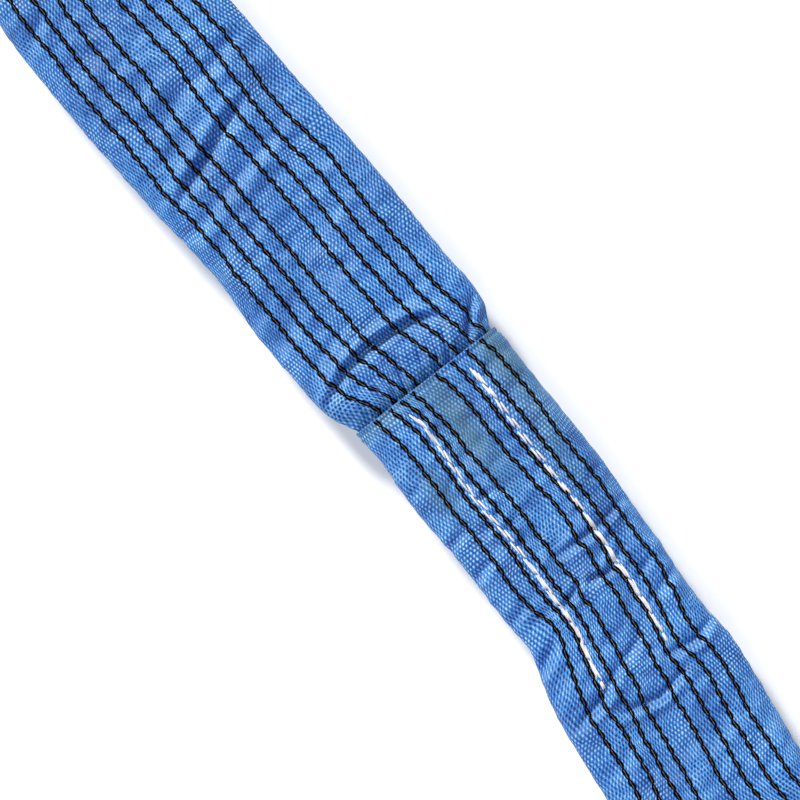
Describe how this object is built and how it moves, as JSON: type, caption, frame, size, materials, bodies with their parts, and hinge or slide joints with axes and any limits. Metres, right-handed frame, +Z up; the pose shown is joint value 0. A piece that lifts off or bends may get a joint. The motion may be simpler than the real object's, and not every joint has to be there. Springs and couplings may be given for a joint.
{
  "type": "round sling",
  "caption": "Endless polyester round sling: core yarn in a woven tube sleeve with a sewn joint, laid out long with an open eye at each end for a hook or shackle.",
  "frame": {"origin": "centre of the footprint, on the surface that the sling lies on", "axes": "+X along the sling towards the outer sleeve end, +Y across it, +Z up out of the surface"},
  "size_m": [1.0082, 0.1, 0.076],
  "materials": {
    "sleeve_fabric": "coarse plain weave",
    "marker_yarn": "twisted yarn",
    "core_yarn": "loose filament yarn",
    "seam_thread": "bonded sewing thread",
    "label": "smooth woven label",
    "core_tape": "satin adhesive tape"
  },
  "bodies": {
    "middle": {"core_end_tape": "core_tape", "joint_lower_face_left_seam": "seam_thread", "joint_lower_face_right_seam": "seam_thread", "joint_upper_face_left_seam": "seam_thread", "joint_upper_face_right_seam": "seam_thread", "lower_leg_core_turns": "core_yarn", "lower_leg_marker_yarns": "marker_yarn", "lower_leg_sleeve": "sleeve_fabric", "outer_sleeve_end": "sleeve_fabric", "outer_sleeve_marker_yarns": "marker_yarn", "tucked_sleeve_end": "sleeve_fabric", "tucked_sleeve_marker_yarns": "marker_yarn", "upper_leg_core_turns": "core_yarn"},
    "end_a": {"eye_core_turns_a": "core_yarn", "eye_marker_yarns_a": "marker_yarn", "eye_sleeve_a": "sleeve_fabric"},
    "end_b": {"eye_core_turns_b": "core_yarn", "eye_marker_yarns_b": "marker_yarn", "eye_sleeve_b": "sleeve_fabric", "identification_label": "label", "label_stitching": "seam_thread"}
  },
  "joints": [
    {"name": "fold_a", "type": "hinge", "parent": "middle", "child": "end_a", "pos_m": [-0.255, 0, 0.0422], "axis": [0, 1, 0], "range_deg": [0, 170]},
    {"name": "fold_b", "type": "hinge", "parent": "middle", "child": "end_b", "pos_m": [0.255, 0, 0.0422], "axis": [0, -1, 0], "range_deg": [0, 170]}
  ]
}
